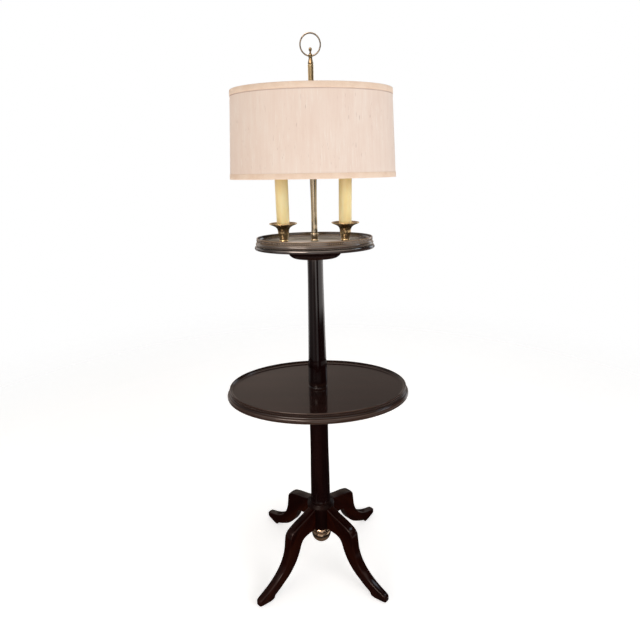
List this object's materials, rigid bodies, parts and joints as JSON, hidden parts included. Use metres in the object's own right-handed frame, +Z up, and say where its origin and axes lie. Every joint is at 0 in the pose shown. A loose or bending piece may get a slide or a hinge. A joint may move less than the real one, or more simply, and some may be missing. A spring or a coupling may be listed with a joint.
{
  "type": "floor lamp with table",
  "caption": "Floor lamp on sabre legs: a turned column carries an oval table and an oval tray with candle-style lights under an oval fabric drum shade with a ring finial.",
  "frame": {"origin": "on the floor, on the axis of the column", "axes": "+Z up along the column, +X along the long axis of the ovals and from the left candle to the right one, -Y towards the front"},
  "size_m": [0.496, 0.367, 1.4399],
  "materials": {
    "mahogany": "gloss lacquer over very dark red-brown stain",
    "beech": "plain",
    "antique_brass": "aged, satin, darker in the hollows",
    "steel": "zinc plated",
    "candle_resin": "satin, wax-like",
    "phenolic": "moulded",
    "frame_wire": "white lacquer",
    "shade_silk": "slubbed silk on a stiff liner",
    "shade_tape": "ribbed trim tape",
    "bulb_glass": "frosted",
    "bulb_cap": "rolled thread"
  },
  "bodies": {
    "root": {"leg_front_left": "mahogany", "leg_front_right": "mahogany", "leg_rear_left": "mahogany", "leg_rear_right": "mahogany", "hub": "mahogany", "lower_column": "mahogany", "table_flange": "mahogany", "table_board": "mahogany", "table_rim": "mahogany", "upper_column": "mahogany", "tray_flange": "mahogany", "tray_base": "mahogany", "tray_board": "mahogany", "tray_gallery": "mahogany", "leg_dowels": "beech", "bun_finial": "antique_brass", "candle_cup_left": "antique_brass", "candle_cup_right": "antique_brass", "rod_base": "antique_brass", "centre_rod": "antique_brass", "shade_rest_tube": "antique_brass", "tie_washer": "steel", "tie_nut": "steel", "tie_rod": "steel", "table_screws": "steel", "tray_screws": "steel", "socket_nipple_left": "steel", "socket_nipple_right": "steel", "socket_nuts": "steel", "shade_pipe": "steel", "candle_sleeve_left": "candle_resin", "candle_sleeve_right": "candle_resin", "socket_left": "phenolic", "socket_right": "phenolic", "cord_bushing": "phenolic"},
    "shade": {"shade_skin": "shade_silk", "shade_trim_top": "shade_tape", "shade_trim_bottom": "shade_tape", "shade_ring_top": "frame_wire", "shade_ring_bottom": "frame_wire", "shade_spider": "frame_wire"},
    "finial": {"finial_stem": "antique_brass", "finial_tip": "antique_brass", "finial_ring": "antique_brass"},
    "bulb_left": {"bulb_cap_left": "bulb_cap", "bulb_glass_left": "bulb_glass"},
    "bulb_right": {"bulb_cap_right": "bulb_cap", "bulb_glass_right": "bulb_glass"}
  },
  "joints": [
    {"name": "shade_swivel", "type": "hinge", "parent": "root", "child": "shade", "pos_m": [0, 0, 1.312], "axis": [0, 0, 1], "continuous": true},
    {"name": "finial_turn", "type": "hinge", "parent": "root", "child": "finial", "pos_m": [0, 0, 1.345], "axis": [0, 0, 1], "continuous": true},
    {"name": "bulb_left_turn", "type": "hinge", "parent": "root", "child": "bulb_left", "pos_m": [-0.0763, 0, 1.16], "axis": [0, 0, 1], "continuous": true},
    {"name": "bulb_right_turn", "type": "hinge", "parent": "root", "child": "bulb_right", "pos_m": [0.0763, 0, 1.16], "axis": [0, 0, 1], "continuous": true}
  ]
}
